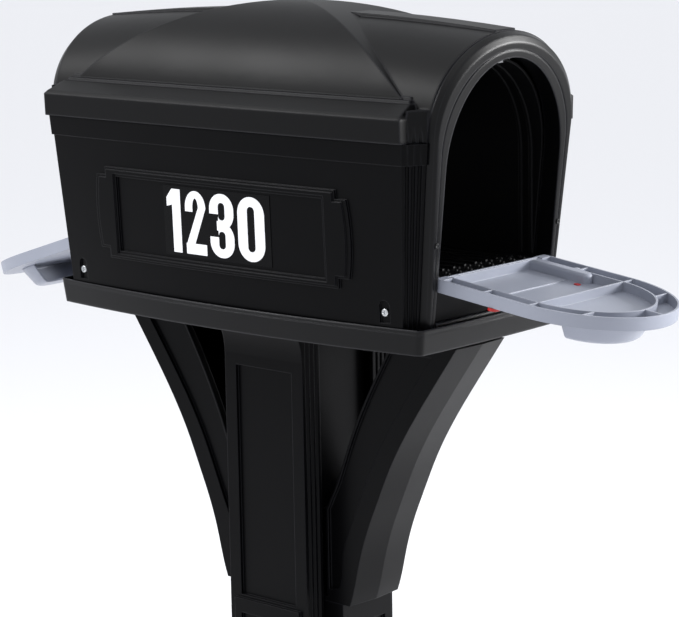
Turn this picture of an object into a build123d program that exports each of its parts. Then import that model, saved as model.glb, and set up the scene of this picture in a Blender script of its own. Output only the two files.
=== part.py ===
from build123d import *
import os
from math import atan, cos, degrees, radians, sin

# Curbside parcel mailbox with a door at each end, on a moulded post with two braces.
# Millimetres. +X points out of the front mouth, -Y is the side with the number panel,
# +Z is up, and the origin is on the ground at the centre of the foot.

# Driving dimensions
TRAY_Z = 1030.0            # ground to the underside of the tray
TRAY_H = 29.5              # tray skirt height
TRAY_L = 296.0             # half-length of the tray lip at its corners
TRAY_W = 136.0             # half-width of the tray lip at its corners
TRAY_BOW = 20.0            # how far each long lip bows out at mid-length
END_BOW = 4.0              # how far each short lip bows out
WALL = 4.0                 # moulded wall thickness
LEAN = degrees(atan(0.105))    # the mouths lean outwards towards the top
MOUTH_X = 290.0            # mouth face, at the height MOUTH_Z above the tray underside
MOUTH_Z = 30.0
BODY_Z0, BODY_Z1 = 24.0, 238.0     # lower housing, above the tray underside
OPEN_W = 105.0             # half-width of the mouth opening
OPEN_SPRING = 176.0        # height of the opening's springing line, along the mouth face
OPEN_RISE = 119.0          # rise of the opening's elliptical head
RING_D = 24.0              # depth of the mouth frame
RING_BEVEL = 12.0          # depth of its outer bevel
EAVE_L, EAVE_W, EAVE_BOW = 287.5, 159.5, 3.0
EAVE_Z0, EAVE_Z1 = 238.5, 269.5
LEDGE_L, LEDGE_W, LEDGE_Z = 273.5, 122.0, 287.0
VAULT_A, VAULT_Z = 126.0, 255.0    # half-width and springing height of the roof vault
VAULT_END, VAULT_MID = 97.0, 112.0     # rise of the vault at its ends and at the middle
LOBE_A, LOBE_B = 128.0, 125.0      # larger ellipse of the raised roof lobe
LOBE_HALF, LOBE_TOP = 262.0, 380.0
STRIP_L, STRIP_W = 310.0, 18.0     # ridge strip
FLOOR_Z = 80.0             # top of the compartment floor
DOOR_W, DOOR_STRAIGHT, DOOR_LEN = 101.5, 122.0, 240.0
DOOR_T = 15.0              # door depth, rim edge to outer face
SKIN = 3.0                 # door outer skin
AXIS_DROP = 6.0            # hinge axis below the rim edge of the open door
AXIS_X, AXIS_Z = 288.8, 77.5       # hinge axis, above the tray underside
FRONT_DROOP, REAR_DROOP = 7.0, 17.7    # how far each open door hangs below level
PIN_R, PIN_GAP = 3.0, 0.05
FLAG_S, FLAG_Y, FLAG_LEN, FLAG_W, FLAG_T = 80.0, 58.0, 161.5, 12.0, 3.0
PULL_S, PULL_R, PULL_D = 148.0, 66.0, 27.0
TIMBER = 90.0              # clear socket for a nominal 4 x 4 inch timber (89 mm)
SLEEVE = 49.0              # half-width of the square post sleeve
PIL_W, PIL_Y = 64.0, 80.0  # side pilasters
BRACE_W = 45.0             # half-width of a brace
CREASE = 3.5               # how far the brace's outer face stands proud along its middle
HEAD_T = 8.0               # head plate between the post and the tray
FOOT_H = 62.0

CL, SL = cos(radians(LEAN)), sin(radians(LEAN))
MOUTH = Plane(origin=(MOUTH_X, 0, TRAY_Z + MOUTH_Z), x_dir=(0, 1, 0), z_dir=(CL, 0, -SL))


def up(z):
    """Height above the ground of a height above the tray underside."""
    return TRAY_Z + z


def mouth_x(z, depth=0.0):
    """X of the mouth face at a height above the tray underside."""
    return MOUTH_X + (z - MOUTH_Z) * SL / CL - depth


def box(x0, x1, y0, y1, z0, z1):
    return Pos((x0 + x1) / 2, (y0 + y1) / 2, (z0 + z1) / 2) * Box(x1 - x0, y1 - y0, z1 - z0)


def both_ends(shape):
    return shape + mirror(shape, about=Plane.YZ)


def both_sides(shape):
    return shape + mirror(shape, about=Plane.XZ)


def bowed_plan(half_l, half_w, bow, end_bow, z, radius=0.0):
    """Rectangle in plan whose four sides bow outwards."""
    corners = [(-half_l, -half_w), (half_l, -half_w), (half_l, half_w), (-half_l, half_w)]
    mids = [(0, -half_w - bow), (half_l + end_bow, 0), (0, half_w + bow), (-half_l - end_bow, 0)]
    bows = (bow, end_bow, bow, end_bow)
    edges = [ThreePointArc(corners[i], mids[i], corners[(i + 1) % 4]) if bows[i]
             else Line(corners[i], corners[(i + 1) % 4]) for i in range(4)]
    face = make_face(edges)
    if radius:
        face = fillet(face.vertices(), radius)
    return Pos(0, 0, z) * face


def body_plan(z, grow=0.0):
    """Plan of the lower housing: two bowed sides, four bevels and two flat ends."""
    t = (z - BODY_Z0) / (BODY_Z1 - BODY_Z0)
    lc, wc, bow = 269.5 + 14 * t + grow, 137 + 15 * t + grow, 14 - 9 * t
    le, we = mouth_x(z, RING_BEVEL) + grow, 118 + 9 * t + grow
    edges = []
    for s in (-1, 1):
        edges.append(ThreePointArc((s * -lc, s * wc), (0, s * (wc + bow)), (s * lc, s * wc)))
        edges.append(Line((s * lc, s * wc), (s * le, s * we)))
        edges.append(Line((s * le, s * we), (s * le, -s * we)))
        edges.append(Line((s * le, -s * we), (s * lc, -s * wc)))
    return Pos(0, 0, up(z)) * make_face(edges)


def body_solid(grow=0.0, z0=BODY_Z0, z1=BODY_Z1):
    return loft([body_plan(z0, grow), body_plan(z1, grow)], ruled=True)


def arch(half_w, spring, rise, foot, half_foot):
    """Face of an arch: legs from the foot to the springing line and an elliptical head."""
    head = EllipticalCenterArc((0, spring), half_w, rise, start_angle=0, arc_size=180)
    legs = Polyline((-half_w, spring), (-half_foot, foot), (half_foot, foot), (half_w, spring))
    return make_face([head, legs])


def mouth_arch(half_w, spring, rise, foot, half_foot, depth0, depth1):
    """Arch standing in the front mouth's plane, from one depth behind it to another."""
    face = MOUTH * (Pos(0, 0, -depth1) * arch(half_w, spring, rise, foot, half_foot))
    return extrude(face, amount=depth1 - depth0, dir=(CL, 0, -SL))


def between_mouths(depth):
    """Everything between the two mouth planes, set back by a depth."""
    z0, z1 = -40.0, 440.0
    x0, x1 = mouth_x(z0, depth), mouth_x(z1, depth)
    face = Plane.XZ * make_face(Polyline((-x0, up(z0)), (x0, up(z0)), (x1, up(z1)), (-x1, up(z1)), close=True))
    return extrude(face, amount=200, both=True)


# ---------------------------------------------------------------- tray and floor

def base_tray():
    lower = bowed_plan(TRAY_L - 4, TRAY_W - 2, TRAY_BOW, END_BOW, up(0), 8)
    upper = bowed_plan(TRAY_L, TRAY_W, TRAY_BOW, END_BOW, up(TRAY_H), 8)
    tray = loft([lower, upper], ruled=True)
    pocket = bowed_plan(TRAY_L - 2, TRAY_W - 1.4, TRAY_BOW, END_BOW, up(BODY_Z0), 5)
    tray -= extrude(pocket, amount=20)
    well = bowed_plan(TRAY_L - 36, TRAY_W - 26, TRAY_BOW - 4, END_BOW, up(WALL), 12)
    tray -= extrude(well, amount=TRAY_H)
    ribs = [box(x - 1.5, x + 1.5, -104, 104, up(WALL), up(BODY_Z0)) for x in (-200, -120, 120, 200)]
    tray += ribs
    bead = Pos(0, 0, up(BODY_Z0 + 6)) * Rot(90, 0, 0) * Cylinder(3.0, 2 * OPEN_W - 6)
    base = box(-3, 3, -OPEN_W + 3, OPEN_W - 3, up(BODY_Z0), up(BODY_Z0 + 6))
    tray += both_ends(Pos(MOUTH_X - 2.5, 0, 0) * (bead + base))
    bolts = [Pos(x, y, up(WALL / 2)) * Cylinder(4.2, 2 * WALL) for x in (-70, 70) for y in (-50, 50)]
    return tray - bolts


def floor_pan():
    half_l, half_w = AXIS_X - 8.0, 96.0
    outer = box(-half_l, half_l, -half_w, half_w, up(BODY_Z0), up(FLOOR_Z))
    sill = box(half_l - 1, half_l + 3, -half_w, half_w, up(BODY_Z0), up(FLOOR_Z - 14))
    outer += both_ends(sill)
    inner = box(-half_l + 3, half_l - 3, -half_w + 3, half_w - 3, up(0), up(FLOOR_Z - 3.5))
    pan = outer - inner
    pan += [box(x - 1.25, x + 1.25, -half_w + 2, half_w - 2, up(BODY_Z0), up(FLOOR_Z - 3))
            for x in (-200, -120, 0, 120, 200)]
    ridges = [box(-250, 250, y - 2, y + 2, up(FLOOR_Z - 1), up(FLOOR_Z + 2)) for y in range(-80, 81, 20)]
    pan += ridges
    dots = []
    for row in range(3):
        for col in range(9):
            x, y = half_l - 7 - 9 * row, -80 + 20 * col + 5 * (row % 2)
            dots.append(Pos(x, y, up(FLOOR_Z + 1)) * Cone(3.0, 1.8, 3.0))
    return pan + both_ends(Part() + dots)


# ---------------------------------------------------------------- housing, frames and liner

def flutes(z0, z1):
    """Upright grooves down the bevel beside each mouth."""
    cuts = []
    for frac in (0.24, 0.5, 0.76):
        ends = []
        for z in (z0, z1):
            t = (z - BODY_Z0) / (BODY_Z1 - BODY_Z0)
            c = Vector(269.5 + 14 * t, -(137 + 15 * t), up(z))
            e = Vector(mouth_x(z, RING_BEVEL), -(118 + 9 * t), up(z))
            ends.append(c + (e - c) * frac)
        axis = ends[1] - ends[0]
        plane = Plane(origin=ends[0], z_dir=axis)
        cuts.append(extrude(plane * Circle(2.4), amount=axis.length))
    return both_sides(both_ends(Part() + cuts))


def panel_outline(half_l, z0, z1, ear=0.0):
    """Address panel: a rectangle with a bowed ear at each end, as a prism along Y."""
    face = make_face(Polyline((-half_l, z0), (half_l, z0), (half_l, z1), (-half_l, z1), close=True))
    if ear:
        za, zb, zm, tip = z0 + 12, z1 - 10, (z0 + z1) / 2, half_l + ear * 0.78
        arc = ThreePointArc((tip, za), (half_l + ear, zm), (tip, zb))
        side = make_face([arc, Polyline((tip, zb), (half_l - 1, zb), (half_l - 1, za), (tip, za))])
        face = face + side + mirror(side, about=Plane.YZ)
    return extrude(Plane.XZ * (Pos(0, TRAY_Z) * face), amount=200)


def screw_pocket(x, z0=34.0, z1=60.0):
    """Arch-headed recess around a fixing screw at the foot of the side wall."""
    face = make_face([ThreePointArc((x + 7, z1 - 7), (x, z1), (x - 7, z1 - 7)),
                      Polyline((x - 7, z1 - 7), (x - 7, z0), (x + 7, z0), (x + 7, z1 - 7))])
    return extrude(Plane.XZ * (Pos(0, TRAY_Z) * face), amount=200)


def housing():
    outer = body_solid()
    shell = outer - body_solid(-WALL, BODY_Z0 - 10, BODY_Z1 + 10)
    shell += body_solid(2.0, 214.0, BODY_Z1) - body_solid(-WALL, 204.0, BODY_Z1 + 10)
    neck = extrude(bowed_plan(EAVE_L - 8, EAVE_W - 9, EAVE_BOW, 0, up(BODY_Z1 - 4)), amount=28)
    neck -= extrude(bowed_plan(EAVE_L - 12, EAVE_W - 13, EAVE_BOW, 0, up(BODY_Z1 - 5)), amount=40)
    shell += neck
    frame = (panel_outline(187, 68, 181, 20) - panel_outline(168, 78, 170)) & body_solid(3.0)
    frame += (panel_outline(184, 71, 178, 17) - panel_outline(171.5, 74.5, 173.5)) & body_solid(4.8)
    shell += both_sides(frame - outer)
    pads = (screw_pocket(-247, 30, 66) + screw_pocket(247, 30, 66)) & (body_solid(-1) - body_solid(-8))
    shell += both_sides(pads)
    pockets = (screw_pocket(-247) + screw_pocket(247)) - body_solid(-2.5)
    shell -= both_sides(pockets)
    holes = [Pos(x, 0, up(46)) * Rot(90, 0, 0) * Cylinder(2.5, 400) for x in (-247, 247)]
    shell -= holes
    mouth = mouth_arch(127, 221, 103, -12, 117.5, -30, 60)
    vault_room = extrude(Plane.YZ * (Pos(0, TRAY_Z) * arch(VAULT_A + 0.5, 255, 98, 200, VAULT_A + 0.5)),
                         amount=340, both=True) & box(-340, 340, -140, 140, up(BODY_Z1), up(300))
    return shell - both_ends(mouth) - vault_room - flutes(BODY_Z0 - 2, BODY_Z1 + 2)


def mouth_frame():
    """Bevelled arch that frames the front mouth."""
    front = MOUTH * arch(122, 211, 101, -5, 112.5)
    back = MOUTH * (Pos(0, 0, -RING_BEVEL) * arch(126.8, 221, 102.8, -5, 117.2))
    roll = MOUTH * (Pos(0, 0, -3.5) * arch(125.3, 217.5, 102.3, -5, 115.8))
    ring = loft([back, roll, front], ruled=True)
    flange = mouth_arch(126.8, 221, 102.8, -5, 117.2, RING_BEVEL, RING_D)
    ring += flange & box(200, 400, -200, 200, up(0), up(BODY_Z1))
    ring += mouth_arch(121.8, 221, 98.6, -5, 115, RING_BEVEL - 1, RING_D)
    ring -= mouth_arch(OPEN_W, OPEN_SPRING, OPEN_RISE, -20, OPEN_W, -10, RING_D + 10)
    ring -= box(200, 400, -200, 200, up(-50), up(BODY_Z0))
    ring -= mouth_arch(114.7, 196, 108.7, -20, 109.6, -5, 1) - mouth_arch(113.5, 193.5, 110, -20, 108.4, -9, 5)
    pins = Pos(AXIS_X, 0, up(AXIS_Z)) * Rot(90, 0, 0) * Cylinder(PIN_R, 2 * (OPEN_W + 7))
    screws = [MOUTH * (Pos(s * 112, 93, -5) * Cylinder(1.7, 14)) for s in (-1, 1)]
    return ring - pins - screws


def liner():
    """Arched lining of the mail compartment, open below, with two ribs near each mouth."""
    def tunnel(half_w, top, foot, x0, x1):
        face = Plane.YZ * (Pos(0, TRAY_Z) * arch(half_w, 205, top - 205, foot, half_w))
        return Pos(x0, 0, 0) * extrude(face, amount=x1 - x0)
    shell = tunnel(104, 322, BODY_Z0, -340, 340) - tunnel(101, 319, -20, -341, 341)
    for x in (252, 267):
        ring = tunnel(101.5, 319.5, FLOOR_Z + 4, x, x + 4) - tunnel(99, 317, 0, x - 1, x + 5)
        shell += both_ends(ring)
    return shell & between_mouths(RING_D)


# ---------------------------------------------------------------- roof

def vault(grow=0.0, foot=EAVE_Z0):
    """Crowned roof vault, long enough to pass through both mouth planes."""
    def section(x, rise):
        face = arch(VAULT_A + grow, VAULT_Z, rise + grow, foot, VAULT_A + grow)
        return Pos(x, 0, TRAY_Z) * (Plane.YZ * face)
    return loft([section(-330, VAULT_END), section(0, VAULT_MID), section(330, VAULT_END)])


def lobe(grow=0.0):
    """Raised lobe of the roof, bounded by one long arc seen from the side."""
    low = LEDGE_Z - 3
    arc = ThreePointArc((-LOBE_HALF - grow, low), (0, LOBE_TOP + grow), (LOBE_HALF + grow, low))
    face = make_face([arc, Line((LOBE_HALF + grow, low), (-LOBE_HALF - grow, low))])
    prism = extrude(Plane.XZ * (Pos(0, TRAY_Z) * face), amount=200, both=True)
    barrel = Plane.YZ * (Pos(0, TRAY_Z) * arch(LOBE_A + grow, VAULT_Z, LOBE_B + grow, 240, LOBE_A + grow))
    return prism & extrude(barrel, amount=300, both=True)


def roof_cover():
    eave = loft([bowed_plan(EAVE_L, EAVE_W - 1, EAVE_BOW, 0, up(EAVE_Z0)),
                 bowed_plan(EAVE_L, EAVE_W, EAVE_BOW, 0, up(EAVE_Z1 - 4))], ruled=True)
    eave += loft([bowed_plan(EAVE_L, EAVE_W, EAVE_BOW, 0, up(EAVE_Z1 - 4)),
                  bowed_plan(EAVE_L - 3, EAVE_W - 4, EAVE_BOW, 0, up(EAVE_Z1))], ruled=True)
    slope = loft([bowed_plan(EAVE_L - 3, EAVE_W - 4, EAVE_BOW, 0, up(EAVE_Z1)),
                  bowed_plan(EAVE_L - 8, LEDGE_W + 10, 2, 0, up(280))], ruled=True)
    step = extrude(bowed_plan(LEDGE_L + 3, LEDGE_W + 6, 1.5, 0, up(270)), amount=13.5)
    ledge = extrude(bowed_plan(LEDGE_L, LEDGE_W, 1.5, 0, up(270)), amount=LEDGE_Z - 270)
    roof = eave + slope + step + ledge + (vault() & between_mouths(RING_BEVEL + 0.2)) + lobe()
    strip = loft([Pos(x, 0, up(VAULT_Z)) * (Plane.YZ * (Pos(0, r) * Rectangle(2 * STRIP_W, 12)))
                  for x, r in ((-STRIP_L, VAULT_END - 3), (0, VAULT_MID - 3), (STRIP_L, VAULT_END - 3))])
    roof += strip & between_mouths(3.0)
    inside = vault(-WALL, 200) + lobe(-WALL)
    inside += extrude(bowed_plan(EAVE_L - WALL, EAVE_W - WALL - 1, EAVE_BOW, 0, up(200)), amount=62)
    corner = Polyline((EAVE_L - 1, 120), (mouth_x(EAVE_Z0, RING_BEVEL + 0.3), 120),
                      (mouth_x(EAVE_Z0, RING_BEVEL + 0.3), 126.9), (EAVE_L - 1, 147), close=True)
    wedge = extrude(Pos(0, 0, up(EAVE_Z0)) * make_face(corner), amount=36)
    wedges = both_sides(both_ends(wedge)) - flutes(BODY_Z1, BODY_Z1 + 44)
    return roof + wedges - inside


# ---------------------------------------------------------------- doors

def door_plan(half_w, straight, length, s0=0.0):
    """Door outline, hinge edge at s0 and tip at length, as a face in the door's own plane."""
    head = EllipticalCenterArc((straight, 0), length - straight, half_w, start_angle=-90, arc_size=180)
    legs = Polyline((straight, half_w), (s0, half_w), (s0, -half_w), (straight, -half_w))
    return make_face([head, legs])


def slab(face, z0, z1):
    return extrude(Pos(0, 0, z0) * face, amount=z1 - z0)


def door(flagged):
    """Door in its own frame: X from the hinge edge to the tip, Z = 0 at the rim edge, outer face below."""
    rim = 2.6
    outline = door_plan(DOOR_W, DOOR_STRAIGHT, DOOR_LEN)
    body = slab(outline, -DOOR_T, 0)
    inner = door_plan(DOOR_W - rim, DOOR_STRAIGHT, DOOR_LEN - rim, rim)
    body -= slab(inner, -DOOR_T + SKIN, 1)
    wall = slab(door_plan(81, 125, 214, rim - 0.1), -DOOR_T + 1, -0.6)
    wall -= slab(door_plan(78.6, 125, 211.6, 5.2), -DOOR_T, 1)
    body += wall
    ribs = [box(126, 128.4, -79, 79, -DOOR_T + 1, -0.6)]
    for s in (64, 127, 186):
        side = box(s - 1.1, s + 1.1, -110, 110, -DOOR_T + 1, -0.8) & slab(inner, -DOOR_T, 0)
        ribs.append(side - slab(door_plan(79, 125, 212), -DOOR_T - 1, 1))
    ribs.append(box(212, DOOR_LEN - 1, -1.1, 1.1, -DOOR_T + 1, -0.8))
    ribs.append(box(14, 62, -70, 62, -DOOR_T + 1, -DOOR_T + SKIN + 1.2))
    bulge = box(5, 88, 65, 80, -DOOR_T + 1, 0)
    bulge = fillet(bulge.edges().filter_by(Axis.Z).group_by(Axis.X)[-1], 7)
    ribs.append(fillet(bulge.edges().group_by(Axis.Z)[-1], 4))
    body += ribs
    body += box(56, 66, 78, 88, -DOOR_T + 1, -1) - box(61, 63.4, 70, 90, -DOOR_T + SKIN, 1)
    for s in (-1, 1):
        knuckle = Pos(0, s * 92.5, -AXIS_DROP) * Rot(90, 0, 0) * Cylinder(AXIS_DROP, 18)
        body += knuckle + box(0, 9, s * 92.5 - 9, s * 92.5 + 9, -2 * AXIS_DROP, 0)
    body += [box(-1.6, 1, y - 9, y + 9, -5, -0.8) for y in range(-66, 67, 33)]
    body -= Pos(0, 0, -AXIS_DROP) * Rot(90, 0, 0) * Cylinder(PIN_R + PIN_GAP, 300)
    if flagged:
        body -= Pos(FLAG_S, FLAG_Y, 0) * Cylinder(4 + PIN_GAP, 60)
    return body


def door_pull():
    """Half-round cup pull on the outer face, open towards the hinge."""
    def cup(r, d, top):
        line = Polyline((0, top), (r, top), (r, -DOOR_T - 2), (r - 11, -DOOR_T - d + 5))
        arc = ThreePointArc((r - 11, -DOOR_T - d + 5), (r - 15, -DOOR_T - d + 1.2), (r - 20, -DOOR_T - d))
        end = Polyline((r - 20, -DOOR_T - d), (0, -DOOR_T - d), (0, top))
        return revolve(Plane.XZ * make_face([line, arc, end]), axis=Axis.Z)
    shape = Pos(PULL_S, 0, 0) * (cup(PULL_R, PULL_D, -DOOR_T) - cup(PULL_R - 2.6, PULL_D - 2.6, -DOOR_T + 1))
    return shape & box(PULL_S, 300, -100, 100, -80, 0)


def flag():
    """Signal flag lying across the door's outer face, with its pivot boss through the skin."""
    z1, z0 = -DOOR_T - 0.4, -DOOR_T - 0.4 - FLAG_T
    arm = box(FLAG_S - FLAG_W / 2, FLAG_S + FLAG_W / 2, FLAG_Y - FLAG_LEN + FLAG_W / 2, FLAG_Y, z0, z1)
    ends = [Pos(FLAG_S, y, (z0 + z1) / 2) * Cylinder(FLAG_W / 2, FLAG_T)
            for y in (FLAG_Y, FLAG_Y - FLAG_LEN + FLAG_W / 2)]
    top = -DOOR_T + SKIN + 0.8
    boss = Pos(FLAG_S, FLAG_Y, (z0 + top) / 2) * Cylinder(4, top - z0)
    return arm + ends + boss


def door_frame(end, droop):
    """Placement of a door that hangs open: end is 1 at the front and -1 at the rear."""
    c, s = cos(radians(droop)), sin(radians(droop))
    plane = Plane(origin=(end * AXIS_X, 0, up(AXIS_Z)), x_dir=(end * c, 0, -s), z_dir=(end * s, 0, c))
    return plane.location * Pos(0, 0, AXIS_DROP)


def hinge_pins(end):
    pins = [Pos(end * AXIS_X, s * (OPEN_W + 7 + 86) / 2, up(AXIS_Z)) * Rot(90, 0, 0)
            * Cylinder(PIN_R, OPEN_W + 7 - 86) for s in (-1, 1)]
    return Part() + pins


def door_catch():
    """Spring clip under the head of the mouth frame that holds the closed door."""
    plate = MOUTH * (Pos(0, OPEN_SPRING + OPEN_RISE - 2, -18.5) * Box(26, 4.0, 9))
    plate &= mouth_arch(OPEN_W, OPEN_SPRING, OPEN_RISE, 0, OPEN_W, 0, 40)
    hook = MOUTH * (Pos(0, OPEN_SPRING + OPEN_RISE - 6, -21) * Box(16, 6, 3))
    return plate + hook


# ---------------------------------------------------------------- number panel

def numeral(digit, w, h):
    """Heavy condensed numeral, lower left corner at the origin."""
    bar = 0.36 * w
    if digit == 1:
        stem = Pos(w * 0.64, h / 2) * Rectangle(0.56 * w, h)
        flag_face = make_face(Polyline((0, 0.72 * h), (0, 0.86 * h), (0.36 * w, h), (0.5 * w, h),
                                       (0.5 * w, 0.76 * h), close=True))
        return stem + flag_face
    if digit == 0:
        outer = Pos(w / 2, h / 2) * RectangleRounded(w, h, w * 0.49)
        return outer - Pos(w / 2, h / 2) * RectangleRounded(w - 2 * bar, h - 1.5 * bar, (w - 2 * bar) * 0.48)
    if digit == 2:
        ring = Pos(w / 2, h - w * 0.6) * (Ellipse(w / 2, w * 0.6) - Ellipse(w / 2 - bar, w * 0.6 - bar * 0.72))
        head = ring - Pos(0, 0) * Rectangle(1.4 * w, 2 * (h - w * 0.6), align=(Align.MIN, Align.CENTER))
        left = Pos(bar / 2, h - w * 0.66) * Rectangle(bar, w * 0.16)
        sweep_face = make_face(Polyline((0, 0.13 * h), (bar * 1.1, 0.13 * h), (w, h - w * 0.58),
                                        (w - bar, h - w * 0.58), close=True))
        foot = Pos(w / 2, 0.085 * h) * Rectangle(w, 0.17 * h)
        return head + left + sweep_face + foot
    eye = w - 2 * bar
    mids = [Pos(w / 2, z * h) for z in (0.275, 0.725)]
    lobes = Sketch() + [mid * RectangleRounded(w, 0.55 * h, 0.48 * w) for mid in mids]
    lobes -= [mid * RectangleRounded(eye, 0.55 * h - 1.5 * bar, 0.45 * eye) for mid in mids]
    gap = Pos(w * 0.17, h / 2) * Rectangle(w * 0.38, 0.36 * h)
    return lobes - gap + Pos(w * 0.5, h / 2) * Rectangle(w * 0.4, 0.15 * h)


def number_plate():
    prism = extrude(Plane.XZ * (Pos(0, TRAY_Z + 124.5) * Rectangle(174, 84)), amount=200)
    return prism & (body_solid(0.6) - body_solid(0.0))


def numerals():
    glyphs = ((1, -81.0, 25), (2, -50.0, 34), (3, -9.5, 39), (0, 36.0, 42))
    faces = Sketch() + [Pos(x, TRAY_Z + 86.5) * numeral(d, w, 76.2) for d, x, w in glyphs]
    prism = extrude(Plane.XZ * faces, amount=200)
    return prism & (body_solid(1.1) - body_solid(0.6))


# ---------------------------------------------------------------- fasteners

def pan_screw(length, r_shank=2.5, r_head=4.6, head_h=2.6):
    """Pan-head screw, head on +Z above the origin, with a cross recess."""
    head = Cylinder(r_head, head_h, align=(Align.CENTER, Align.CENTER, Align.MIN))
    head = fillet(head.edges().group_by(Axis.Z)[-1], head_h * 0.55)
    slot = [Pos(0, 0, head_h) * Rot(0, 0, a) * Box(5.0, 1.1, 2.4) for a in (0, 90)]
    return head - slot + Cylinder(r_shank, length, align=(Align.CENTER, Align.CENTER, Align.MAX))


def side_screws():
    face = body_solid(-2.5)
    screws = []
    for x in (-247, 247):
        probe = Pos(x, 0, up(46)) * Rot(90, 0, 0) * Cylinder(0.5, 600) & face
        depth = probe.bounding_box().max.Y
        screws.append(Pos(x, -depth - 0.5, up(46)) * Rot(90, 0, 0) * pan_screw(5.5))
    return both_sides(Part() + screws)


def frame_screws(end):
    screws = Part() + [MOUTH * (Pos(s * 112, 93, 0) * pan_screw(10, 1.7, 3.2, 1.6)) for s in (-1, 1)]
    return screws if end > 0 else mirror(screws, about=Plane.YZ)


def head_bolts():
    bolt = Cylinder(7.5, 4, align=(Align.CENTER, Align.CENTER, Align.MIN))
    bolt += Cylinder(4.0, 20, align=(Align.CENTER, Align.CENTER, Align.MAX))
    return Part() + [Pos(x, y, up(WALL)) * bolt for x in (-70, 70) for y in (-50, 50)]


# ---------------------------------------------------------------- post

def head_plate():
    plate = box(-92, 92, -64, 64, up(-HEAD_T), up(0))
    return plate - [Pos(x, y, up(-4)) * Cylinder(4.2, 20) for x in (-70, 70) for y in (-50, 50)]


def post_sleeve():
    top = up(-HEAD_T)
    sleeve = box(-SLEEVE, SLEEVE, -SLEEVE, SLEEVE, 0, top)
    return sleeve - box(-TIMBER / 2, TIMBER / 2, -TIMBER / 2, TIMBER / 2, -1, top - 4)


def side_pilaster():
    """Moulded pilaster on the -Y side: flared head, recessed panel, stepped lower panel."""
    z_top, z_ledge, z_low = up(-HEAD_T), up(-352), FOOT_H
    block = box(-PIL_W, PIL_W, -PIL_Y, -SLEEVE, z_low, z_top)
    cove = Plane.YZ * make_face([
        ThreePointArc((-PIL_Y, up(-46)), (-PIL_Y - 2.6, up(-26)), (-PIL_Y - 9.5, z_top)),
        Polyline((-PIL_Y - 9.5, z_top), (-PIL_Y + 1, z_top), (-PIL_Y + 1, up(-46)), (-PIL_Y, up(-46)))])
    block += extrude(cove, amount=PIL_W, both=True)
    block -= box(-46, 46, -PIL_Y - 20, -PIL_Y + 4.5, z_ledge, up(-60))
    block += box(-54, 54, -PIL_Y - 4, -PIL_Y + 4, z_low, z_ledge - 4)
    block -= box(-43, 43, -PIL_Y - 20, -PIL_Y, z_low + 40, z_ledge - 22)
    for y in (-72, -64, -56):
        groove = Pos(0, y, 0) * Rot(0, 0, 45) * Box(3.4, 3.4, 2 * (z_top - 50))
        block -= [Pos(s * PIL_W, 0, 50) * groove for s in (-1, 1)]
    block -= box(-PIL_W + WALL, PIL_W - WALL, -PIL_Y + 9, -SLEEVE + 1, z_low - 1, z_top - WALL)
    return block


def brace_region(grow=0.0, inner=0.0):
    """Side outline of a brace. grow moves its outer curve in, inner moves the inner edge."""
    outer = [(272, -9), (243, -50), (215, -90), (189, -130), (167, -170), (149, -210), (132, -250),
             (119, -290), (109, -330)]
    outer = [(x - grow, z) for x, z in outer]
    hollow = [(178, -9), (164, -32), (120, -112), (102, -153), (88, -189), (75, -216)]
    hollow = [(x + inner, z) for x, z in hollow]
    low = -348 + max(grow, 0) * 0.6
    curve_out = Spline(*outer, (103 - grow, low))
    curve_in = Spline(*hollow)
    legs = Polyline(hollow[-1], (67 + inner, -232), (67 + inner, low), (103 - grow, low))
    top = Line(hollow[0], outer[0])
    return Pos(0, TRAY_Z) * make_face([curve_out, top, curve_in, legs])


def brace():
    """Curved brace under the +X end of the tray: a channel with a raised border on each cheek."""
    middle, cheek_plane = Plane.XZ, Plane.XZ.offset(BRACE_W)
    half = loft([middle * brace_region(-CREASE), cheek_plane * brace_region()], ruled=True)
    body = both_sides(half)
    body -= extrude(Plane.XZ * brace_region(4.5, -30), amount=BRACE_W - 9, both=True)
    cheek = extrude(Plane.XZ * brace_region(27, 3), amount=60, both=True)
    cheek -= box(0, 400, -BRACE_W + 4.5, BRACE_W - 4.5, up(-400), up(0))
    body -= cheek & box(0, 400, -60, 60, up(-342), up(-24))
    flange = box(SLEEVE, 71, -BRACE_W + 12, BRACE_W - 12, up(-346), up(-236))
    lugs = box(SLEEVE, 68, -BRACE_W, BRACE_W, up(-348), up(-342))
    pad = box(176, 264, -BRACE_W, BRACE_W, up(-9), up(0))
    return body + flange + lugs + pad


def end_pilaster():
    """Lower pilaster under a brace, on the +X side."""
    block = box(SLEEVE, 92, -BRACE_W, BRACE_W, FOOT_H, up(-348))
    block -= box(88, 100, -BRACE_W + 12, BRACE_W - 12, FOOT_H + 40, up(-378))
    block -= box(SLEEVE - 1, 84, -BRACE_W + WALL, BRACE_W - WALL, FOOT_H - 1, up(-352))
    return block


def foot():
    """Stepped foot around the post, open in the middle for the timber."""
    lower = bowed_plan(138, 124, 0, 0, 0, 14)
    shape = extrude(lower, amount=34)
    shape += loft([bowed_plan(138, 124, 0, 0, 34, 14), bowed_plan(122, 108, 0, 0, 46, 12)], ruled=True)
    shape += extrude(bowed_plan(104, 92, 0, 0, 46, 10), amount=FOOT_H - 46)
    shape -= extrude(bowed_plan(132, 118, 0, 0, -1, 10), amount=35 - WALL)
    rim = box(-SLEEVE - WALL, SLEEVE + WALL, -SLEEVE - WALL, SLEEVE + WALL, 0, 40)
    webs = box(-133, 133, -2, 2, 0, 40) + box(-2, 2, -119, 119, 0, 40)
    return shape + rim + webs - box(-SLEEVE, SLEEVE, -SLEEVE, SLEEVE, -1, 100)


def both(shape):
    return mirror(shape, about=Plane.YZ)


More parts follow.
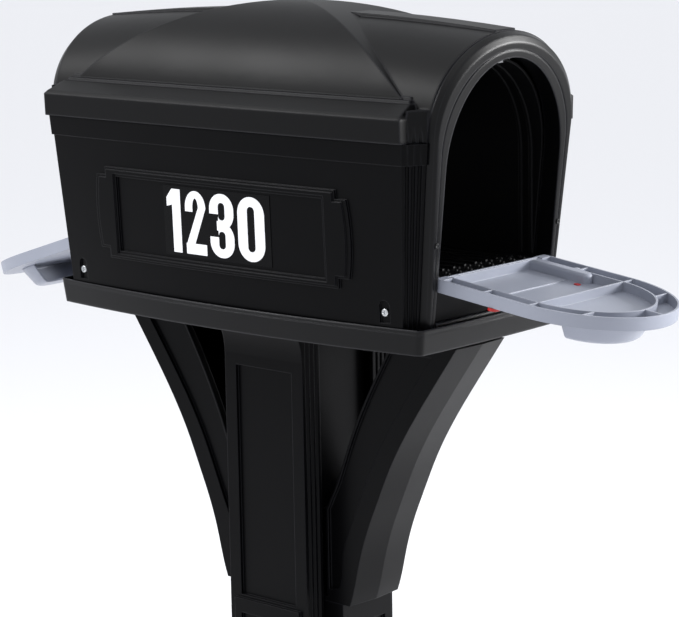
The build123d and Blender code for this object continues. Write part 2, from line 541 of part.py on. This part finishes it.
front, rear = door_frame(1, FRONT_DROOP), door_frame(-1, REAR_DROOP)
NODES = {
    "base_tray": base_tray(),
    "floor_pan": floor_pan(),
    "compartment_liner": liner(),
    "roof_cover": roof_cover(),
    "front_mouth_frame": mouth_frame(),
    "rear_mouth_frame": both(mouth_frame()),
    "front_door": front * door(True),
    "front_door_pull": front * door_pull(),
    "front_hinge_pins": hinge_pins(1),
    "front_door_catch": door_catch(),
    "signal_flag": front * flag(),
    "rear_door": rear * door(False),
    "rear_door_pull": rear * door_pull(),
    "rear_hinge_pins": hinge_pins(-1),
    "rear_door_catch": both(door_catch()),
    "number_plate": number_plate(),
    "numerals": numerals(),
    "side_screws": side_screws(),
    "front_frame_screws": frame_screws(1),
    "rear_frame_screws": frame_screws(-1),
    "head_bolts": head_bolts(),
    "head_plate": head_plate(),
    "post_sleeve": post_sleeve(),
    "near_pilaster": side_pilaster(),
    "far_pilaster": mirror(side_pilaster(), about=Plane.XZ),
    "front_brace": brace(),
    "rear_brace": both(brace()),
    "front_lower_pilaster": end_pilaster(),
    "rear_lower_pilaster": both(end_pilaster()),
    "foot": foot(),
}
sides = sorted(housing().solids(), key=lambda s: s.center().Y)
NODES["near_side_panel"], NODES["far_side_panel"] = sides[0], sides[-1]

os.makedirs("parts", exist_ok=True)
for name, shape in NODES.items():
    export_step(shape, f"parts/{name}.step")
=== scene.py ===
import logging
import math
from dataclasses import dataclass
from enum import Enum
from typing import Any, Iterable, Optional, Sequence, Union

import bpy
from mathutils import Matrix, Vector

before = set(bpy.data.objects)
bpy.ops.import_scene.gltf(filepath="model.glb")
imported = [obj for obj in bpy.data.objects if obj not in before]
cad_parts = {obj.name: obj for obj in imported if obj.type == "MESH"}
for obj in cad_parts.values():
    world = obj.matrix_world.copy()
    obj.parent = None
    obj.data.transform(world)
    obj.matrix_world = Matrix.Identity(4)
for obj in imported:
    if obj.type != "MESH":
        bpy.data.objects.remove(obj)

# Looks for a curbside mailbox on a moulded post. Metres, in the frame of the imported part:
# +X out of the front mouth, -Y towards the number panel, +Z up, origin on the ground.

log = logging.getLogger("mailbox")

MM = 0.001
Socket = bpy.types.NodeSocket
Value = Union[float, Sequence[float], Socket]


def linear(shade: str) -> tuple[float, float, float, float]:
    """Turns an sRGB hex colour into linear RGBA.

    Args:
        shade: Colour such as "#9fa2ab".

    Returns:
        Linear red, green, blue and an alpha of one.
    """
    parts = [int(shade[i:i + 2], 16) / 255 for i in (1, 3, 5)]
    red, green, blue = (c / 12.92 if c <= 0.04045 else ((c + 0.055) / 1.055) ** 2.4 for c in parts)
    return red, green, blue, 1.0


def add(tree: bpy.types.NodeTree, kind: str, settings: Optional[dict[str, Any]] = None,
        inputs: Optional[dict[Union[str, int], Value]] = None) -> bpy.types.Node:
    """Adds a node with its settings and links.

    Args:
        tree: Node tree that gets the node.
        kind: Node type, such as "ShaderNodeBump".
        settings: Properties to set on the node.
        inputs: Input values by name or number. A socket is linked, anything else is set.

    Returns:
        The new node.
    """
    node = tree.nodes.new(kind)
    for name, value in (settings or {}).items():
        setattr(node, name, value)
    for key, value in (inputs or {}).items():
        if isinstance(value, bpy.types.NodeSocket):
            tree.links.new(value, node.inputs[key])
        else:
            node.inputs[key].default_value = value
    return node


def per_metre(size_mm: float) -> float:
    """Texture scale whose features are a given size in millimetres."""
    return 1000.0 / size_mm


class Surface:
    """Shared steps of every finish: a material, its place in space and its edge mask."""

    def __init__(self, name: str) -> None:
        """Starts an empty material.

        Args:
            name: Name of the finish.
        """
        self.material = bpy.data.materials.new(name)
        self.material.use_nodes = True
        self.tree = self.material.node_tree
        self.tree.nodes.clear()
        self.place = self.add("ShaderNodeTexCoord").outputs["Object"]

    def add(self, kind: str, settings: Optional[dict[str, Any]] = None,
            inputs: Optional[dict[Union[str, int], Value]] = None) -> bpy.types.Node:
        """Adds a node to this surface's tree and returns it."""
        return add(self.tree, kind, settings, inputs)

    def noise(self, size_mm: float, detail: float = 2.0, stretch: Sequence[float] = (1, 1, 1)) -> Socket:
        """Noise with features of a real size.

        Args:
            size_mm: Feature size in millimetres.
            detail: Octaves of finer detail.
            stretch: Scale along each axis, below one to draw features out.

        Returns:
            The noise value, about 0.5 on average.
        """
        place = self.add("ShaderNodeMapping", inputs={"Vector": self.place, "Scale": stretch})
        return self.add("ShaderNodeTexNoise", inputs={
            "Vector": place.outputs[0], "Scale": per_metre(size_mm), "Detail": detail}).outputs["Fac"]

    def spread(self, value: Socket, low: float, high: float, out_low: float, out_high: float) -> Socket:
        """Maps a value from one range to another, clamped."""
        return self.add("ShaderNodeMapRange", inputs={
            "Value": value, "From Min": low, "From Max": high,
            "To Min": out_low, "To Max": out_high}).outputs[0]

    def mix(self, amount: Value, first: Value, second: Value) -> Socket:
        """Mixes two colours and returns the result."""
        return self.add("ShaderNodeMix", {"data_type": "RGBA"}, {0: amount, 6: first, 7: second}).outputs[2]

    def edge(self, radius_mm: float) -> tuple[Socket, Socket]:
        """Softened normal of moulded edges, and a mask that is one along them.

        Args:
            radius_mm: Rounding of the edges in millimetres.

        Returns:
            The softened normal and the edge mask.
        """
        soft = self.add("ShaderNodeBevel", {"samples": 6}, {"Radius": radius_mm * MM}).outputs[0]
        flat = self.add("ShaderNodeNewGeometry").outputs["Normal"]
        dot = self.add("ShaderNodeVectorMath", {"operation": "DOT_PRODUCT"}, {0: soft, 1: flat})
        return soft, self.spread(dot.outputs["Value"], 1.0, 0.86, 0.0, 1.0)

    def bump(self, height: Socket, depth_mm: float, normal: Optional[Socket] = None) -> Socket:
        """Raises a height pattern on the surface.

        Args:
            height: Pattern from zero to one.
            depth_mm: Height of the pattern in millimetres.
            normal: Normal that the pattern is laid on.

        Returns:
            The bumped normal.
        """
        inputs: dict[Union[str, int], Value] = {"Height": height, "Distance": depth_mm * MM}
        if normal is not None:
            inputs["Normal"] = normal
        return self.add("ShaderNodeBump", inputs=inputs).outputs[0]

    def finish(self, inputs: dict[Union[str, int], Value]) -> bpy.types.Material:
        """Ends the material with its shader.

        Args:
            inputs: Values or sockets of the shader's inputs by name.

        Returns:
            The finished material.
        """
        shader = self.add("ShaderNodeBsdfPrincipled", inputs=inputs)
        self.add("ShaderNodeOutputMaterial", inputs={"Surface": shader.outputs[0]})
        return self.material


@dataclass(frozen=True)
class MouldedPolyethylene:
    """Polyethylene moulded against a lightly blasted tool: a soft satin sheen over a fine grain.

    The grain is about 0.3 mm across on the real part and is drawn at 1.1 mm so that it shows.
    Broad, very shallow waves come from the plastic's shrinkage and bend the reflections. Slow drifts
    in shade and gloss and a trace of dust keep it from looking flat. The edges are painted paler,
    partly as worn plastic and partly as a painted highlight along every edge.
    """

    name: str
    shade: str
    # Colour of the dust and of the edges; on the edges it is partly wear and partly a painted highlight.
    dust_wear_and_highlight: str
    roughness: float
    grain_depth_mm: float = 0.035
    wave_depth_mm: float = 0.55
    edge_mm: float = 1.8
    grain_mm: float = 1.1
    wave_mm: float = 95.0
    gloss_mm: float = 120.0
    drift_mm: float = 160.0
    drift_gain: float = 1.18
    dust_mm: float = 2.4
    dust_share: float = 0.05
    wear_and_highlight_share: float = 0.55
    specular: float = 0.5
    ior: float = 1.51

    def build(self) -> bpy.types.Material:
        """Makes the material.

        Returns:
            The material, with its shader and patterns.
        """
        s = Surface(self.name)
        soft, rim = s.edge(self.edge_mm)
        shade = linear(self.shade)
        lighter = tuple(self.drift_gain * part for part in shade[:3]) + (1.0,)
        drift = s.spread(s.noise(self.drift_mm, 2.0, (1.0, 1.0, 0.35)), 0.35, 0.65, 0.0, 1.0)
        dust = s.spread(s.noise(self.dust_mm, 3.0), 0.62, 0.78, 0.0, self.dust_share)
        body = s.mix(dust, s.mix(drift, shade, lighter), linear(self.dust_wear_and_highlight))
        # Paler edges: partly wear, partly a painted highlight laid along every edge by the edge mask.
        colour = s.mix(s.spread(rim, 0.25, 1.0, 0.0, self.wear_and_highlight_share), body, linear(self.dust_wear_and_highlight))
        rough = s.spread(s.noise(self.gloss_mm, 1.0), 0.3, 0.7, self.roughness - 0.02, self.roughness + 0.02)
        waved = s.bump(s.noise(self.wave_mm, 1.0), self.wave_depth_mm, soft)
        grained = s.bump(s.noise(self.grain_mm, 2.0), self.grain_depth_mm, waved)
        return s.finish({"Base Color": colour, "Roughness": rough, "Normal": grained,
                         "IOR": self.ior, "Specular IOR Level": self.specular})


@dataclass(frozen=True)
class ZincPlate:
    """Bright zinc plate over steel: a cool silver with faint hazy patches and fine scratches."""

    name: str = "bright_zinc_plated_steel"
    shade: str = "#c6c8c9"
    haze: str = "#a9adb2"
    roughness: float = 0.24
    haze_roughness: float = 0.14
    edge_mm: float = 0.35
    patch_mm: float = 3.5
    scratch_mm: float = 0.5
    scratch_depth_mm: float = 0.012

    def build(self) -> bpy.types.Material:
        """Makes the material.

        Returns:
            The material, with its shader and patterns.
        """
        s = Surface(self.name)
        soft = s.edge(self.edge_mm)[0]
        patches = s.spread(s.noise(self.patch_mm, 3.0), 0.4, 0.65, 0.0, 0.8)
        colour = s.mix(patches, linear(self.shade), linear(self.haze))
        scratches = s.noise(self.scratch_mm, 2.0, (1.0, 0.12, 1.0))
        rough = s.spread(patches, 0.0, 0.8, self.roughness, self.roughness + self.haze_roughness)
        return s.finish({"Base Color": colour, "Metallic": 1.0, "Roughness": rough,
                         "Normal": s.bump(scratches, self.scratch_depth_mm, soft)})


@dataclass(frozen=True)
class SpringSteel:
    """Bare rolled spring steel: grey, drawn along its length, with darker oiled spots."""

    name: str = "rolled_spring_steel"
    shade: str = "#8d8e90"
    oiled: str = "#5b5a58"
    edge_mm: float = 0.3
    spot_mm: float = 2.2
    roll_mm: float = 0.7
    roll_depth_mm: float = 0.01

    def build(self) -> bpy.types.Material:
        """Makes the material.

        Returns:
            The material, with its shader and patterns.
        """
        s = Surface(self.name)
        soft = s.edge(self.edge_mm)[0]
        spots = s.spread(s.noise(self.spot_mm, 3.0), 0.5, 0.7, 0.0, 0.7)
        rolled = s.noise(self.roll_mm, 2.0, (1.0, 0.08, 1.0))
        return s.finish({"Base Color": s.mix(spots, linear(self.shade), linear(self.oiled)),
                         "Metallic": 1.0, "Roughness": s.spread(rolled, 0.3, 0.7, 0.3, 0.42),
                         "Normal": s.bump(rolled, self.roll_depth_mm, soft)})


@dataclass(frozen=True)
class PowderCoat:
    """Powder-coated steel plate: near black with the orange-peel ripple of baked powder."""

    name: str = "black_powder_coated_steel"
    shade: str = "#121314"
    worn: str = "#3b3c3e"
    peel_mm: float = 2.6
    peel_depth_mm: float = 0.06
    edge_mm: float = 0.6
    specular: float = 0.4

    def build(self) -> bpy.types.Material:
        """Makes the material.

        Returns:
            The material, with its shader and patterns.
        """
        s = Surface(self.name)
        soft, rim = s.edge(self.edge_mm)
        peel = s.noise(self.peel_mm, 1.0)
        colour = s.mix(s.spread(rim, 0.4, 1.0, 0.0, 0.6), linear(self.shade), linear(self.worn))
        return s.finish({"Base Color": colour, "Roughness": s.spread(peel, 0.3, 0.7, 0.34, 0.44),
                         "Normal": s.bump(peel, self.peel_depth_mm, soft),
                         "Specular IOR Level": self.specular})


@dataclass(frozen=True)
class CutVinyl:
    """Cast vinyl film cut to shape: flat colour with a faint calender texture and satin gloss."""

    name: str
    shade: str
    shadow: str
    roughness: float
    specular: float = 0.5
    ior: float = 1.53
    mottle_mm: float = 9.0
    texture_mm: float = 1.3
    texture_depth_mm: float = 0.012

    def build(self) -> bpy.types.Material:
        """Makes the material.

        Returns:
            The material, with its shader and patterns.
        """
        s = Surface(self.name)
        mottle = s.spread(s.noise(self.mottle_mm, 3.0), 0.35, 0.7, 0.0, 0.35)
        film = s.noise(self.texture_mm, 2.0)
        return s.finish({"Base Color": s.mix(mottle, linear(self.shade), linear(self.shadow)),
                         "Roughness": s.spread(film, 0.3, 0.7, self.roughness - 0.04, self.roughness + 0.05),
                         "Normal": s.bump(film, self.texture_depth_mm), "IOR": self.ior,
                         "Specular IOR Level": self.specular})


@dataclass(frozen=True)
class MatteSweep:
    """Pale paper sweep of the studio floor."""

    name: str = "pale_paper_sweep"
    shade: str = "#efeff1"

    def build(self) -> bpy.types.Material:
        """Makes the material.

        Returns:
            The material, with its shader and patterns.
        """
        s = Surface(self.name)
        return s.finish({"Base Color": linear(self.shade), "Roughness": 0.9, "Specular IOR Level": 0.1})


class Finish(Enum):
    """The finishes of the mailbox and its stage."""

    # The second colour of each moulded finish paints its dust and its paler edges, which are partly wear and
    # partly a painted highlight.
    BODY = MouldedPolyethylene("black_moulded_polyethylene", "#040405", "#242428", 0.34, specular=0.07)
    EDGED = MouldedPolyethylene("black_rolled_edge_polyethylene", "#050506", "#38383d", 0.30, specular=0.18,
                                edge_mm=3.6)
    ROOF = MouldedPolyethylene("black_roof_polyethylene", "#050506", "#343438", 0.44, specular=0.13,
                               edge_mm=4.0, wave_depth_mm=0.0)
    LINING = MouldedPolyethylene("black_lining_polyethylene", "#050506", "#0e0e10", 0.5, specular=0.12)
    DOOR = MouldedPolyethylene("grey_moulded_polyethylene", "#8d919d", "#adb0b9", 0.42, edge_mm=1.0,
                               specular=0.35, wave_depth_mm=0.2)
    FLAG = MouldedPolyethylene("red_moulded_polyethylene", "#a8120f", "#d23a30", 0.3, edge_mm=0.8,
                               wave_depth_mm=0.1)
    FILM = CutVinyl("black_cast_vinyl", "#020203", "#050506", 0.3, specular=0.1)
    DIGITS = CutVinyl("white_cast_vinyl", "#f6f6f8", "#ececf0", 0.4)
    ZINC = ZincPlate()
    SPRING = SpringSteel()
    COATED = PowderCoat()
    FLOOR = MatteSweep()

    @property
    def material(self) -> bpy.types.Material:
        """The finish's material, made the first time it is asked for.

        Returns:
            The material shared by every node in this finish.
        """
        made = bpy.data.materials.get(self.value.name)
        return made if made is not None else self.value.build()


def dress(finish: Finish, nodes: Iterable[str]) -> None:
    """Gives carried-over CAD nodes their finish.

    Args:
        finish: The finish.
        nodes: Names of the nodes.
    """
    for name in nodes:
        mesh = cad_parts[name].data
        mesh.materials.clear()
        mesh.materials.append(finish.material)
        log.info("%s dressed in %s", name, finish.value.name)


@dataclass
class Housing:
    """The box: tray, walls, mouth frames, roof, lining and floor.

    The tray's lip and the mouth frames have more generous rolled edges than the walls.
    """

    walls: tuple[str, ...] = ("near_side_panel", "far_side_panel")
    rolled: tuple[str, ...] = ("base_tray", "front_mouth_frame", "rear_mouth_frame")
    roof: str = "roof_cover"
    linings: tuple[str, ...] = ("compartment_liner", "floor_pan")

    def build(self) -> None:
        """Dresses the shells and the lining."""
        dress(Finish.BODY, self.walls)
        dress(Finish.EDGED, self.rolled)
        dress(Finish.ROOF, (self.roof,))
        dress(Finish.LINING, self.linings)


@dataclass
class Doors:
    """Both doors with their pulls, pins and catches, and the signal flag."""

    ends: tuple[str, ...] = ("front", "rear")
    flag: str = "signal_flag"

    def build(self) -> None:
        """Dresses the doors and their hardware."""
        for end in self.ends:
            dress(Finish.DOOR, (f"{end}_door", f"{end}_door_pull"))
            dress(Finish.ZINC, (f"{end}_hinge_pins",))
            dress(Finish.SPRING, (f"{end}_door_catch",))
        dress(Finish.FLAG, (self.flag,))


@dataclass
class NumberPanel:
    """The film panel and its four stick-on numerals."""

    film: str = "number_plate"
    digits: str = "numerals"

    def build(self) -> None:
        """Dresses the film and the numerals."""
        dress(Finish.FILM, (self.film,))
        dress(Finish.DIGITS, (self.digits,))


@dataclass
class Fasteners:
    """Screws and bolts."""

    plated: tuple[str, ...] = ("side_screws", "head_bolts")
    blackened: tuple[str, ...] = ("front_frame_screws", "rear_frame_screws")

    def build(self) -> None:
        """Dresses the screws and bolts."""
        dress(Finish.ZINC, self.plated)
        dress(Finish.COATED, self.blackened)


@dataclass
class Post:
    """The post: sleeve, pilasters, braces, head plate and foot."""

    shells: tuple[str, ...] = ("post_sleeve", "near_pilaster", "far_pilaster", "front_brace", "rear_brace",
                               "front_lower_pilaster", "rear_lower_pilaster", "foot")
    plate: str = "head_plate"

    def build(self) -> None:
        """Dresses the post's mouldings and its head plate."""
        dress(Finish.BODY, self.shells)
        dress(Finish.COATED, (self.plate,))


def outward(azimuth: float, elevation: float) -> Vector:
    """Unit vector from the mailbox towards a lamp or the camera.

    Args:
        azimuth: Degrees round from the near side towards the front mouth.
        elevation: Degrees above the horizon.

    Returns:
        The direction.
    """
    a, e = math.radians(azimuth), math.radians(elevation)
    return Vector((math.sin(a) * math.cos(e), -math.cos(a) * math.cos(e), math.sin(e)))


@dataclass(frozen=True)
class Softbox:
    """One square softbox aimed at the box: angles in degrees, sizes in metres, power in watts."""

    name: str
    azimuth: float
    elevation: float
    reach: float
    size: float
    power: float
    aim: tuple[float, float, float] = (0.0, 0.0, 1.15)

    def hang(self) -> None:
        """Makes the lamp and hangs it, out of the camera's sight."""
        out = outward(self.azimuth, self.elevation)
        light = bpy.data.lights.new(self.name, "AREA")
        light.shape, light.size, light.energy = "SQUARE", self.size, self.power
        lamp = bpy.data.objects.new(self.name, light)
        lamp.location = Vector(self.aim) + out * self.reach
        lamp.rotation_euler = out.to_track_quat("Z", "Y").to_euler()
        lamp.visible_camera = False
        bpy.context.collection.objects.link(lamp)


@dataclass
class Studio:
    """Pale floor, soft lights and the camera: angles in degrees, places in metres, lens in millimetres."""

    floor_half: float = 60.0
    azimuth: float = 41.7
    elevation: float = 10.6
    roll: float = -1.0
    lens: float = 129.6
    sensor: float = 36.0
    sight: float = 200.0
    station: tuple[float, float, float] = (1.9946, -2.1777, 1.5839)
    sky: str = "#f4f6fa"
    sky_strength: float = 0.92
    dome_strength: float = 0.5
    dome_spread: float = 60.0
    dome_tilt: tuple[float, float] = (8.0, -10.0)
    softboxes: tuple[Softbox, ...] = (
        Softbox("key_softbox", -50.0, 38.0, 3.4, 1.2, 70.0),
        Softbox("side_softbox", 136.0, 11.0, 3.2, 0.9, 125.0))

    def floor(self) -> None:
        """Lays the floor."""
        mesh = bpy.data.meshes.new("floor")
        half = self.floor_half
        corner_points = [(-half, -half, 0), (half, -half, 0), (half, half, 0), (-half, half, 0)]
        mesh.from_pydata(corner_points, [], [(0, 1, 2, 3)])
        floor = bpy.data.objects.new("floor", mesh)
        bpy.context.collection.objects.link(floor)
        mesh.materials.append(Finish.FLOOR.material)

    def light(self) -> None:
        """Sets the sky, an overhead dome and the softboxes."""
        world = bpy.data.worlds.new("studio")
        world.use_nodes = True
        world.node_tree.nodes.clear()
        sky = add(world.node_tree, "ShaderNodeBackground", inputs={
            "Color": linear(self.sky), "Strength": self.sky_strength})
        add(world.node_tree, "ShaderNodeOutputWorld", inputs={"Surface": sky.outputs[0]})
        bpy.context.scene.world = world
        dome = bpy.data.lights.new("overhead", "SUN")
        dome.energy, dome.angle = self.dome_strength, math.radians(self.dome_spread)
        lamp = bpy.data.objects.new("overhead", dome)
        lamp.rotation_euler = (math.radians(self.dome_tilt[0]), math.radians(self.dome_tilt[1]), 0)
        bpy.context.collection.objects.link(lamp)
        for softbox in self.softboxes:
            softbox.hang()

    def camera(self) -> None:
        """Stands the camera and levels it."""
        back = outward(self.azimuth, self.elevation)
        r = math.radians(self.roll)
        side = (-back).cross(Vector((0, 0, 1))).normalized()
        rise = side.cross(-back)
        right = math.cos(r) * side + math.sin(r) * rise
        upward = -math.sin(r) * side + math.cos(r) * rise
        data = bpy.data.cameras.new("camera")
        data.lens, data.sensor_width = self.lens, self.sensor
        data.clip_end = self.sight
        camera = bpy.data.objects.new("camera", data)
        turn = Matrix((right, upward, back)).transposed().to_4x4()
        camera.matrix_world = Matrix.Translation(self.station) @ turn
        bpy.context.collection.objects.link(camera)
        bpy.context.scene.camera = camera

    def build(self) -> None:
        """Builds the whole studio."""
        self.floor()
        self.light()
        self.camera()
        bpy.context.scene.view_settings.view_transform = "Standard"
        log.info("studio built")


def main() -> None:
    """Builds every sub-assembly in order."""
    logging.basicConfig(level=logging.INFO, format="%(name)s: %(message)s")
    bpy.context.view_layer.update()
    for assembly in (Housing(), Doors(), NumberPanel(), Fasteners(), Post(), Studio()):
        assembly.build()
        log.info("%s built", type(assembly).__name__)


if __name__ == "__main__":
    main()
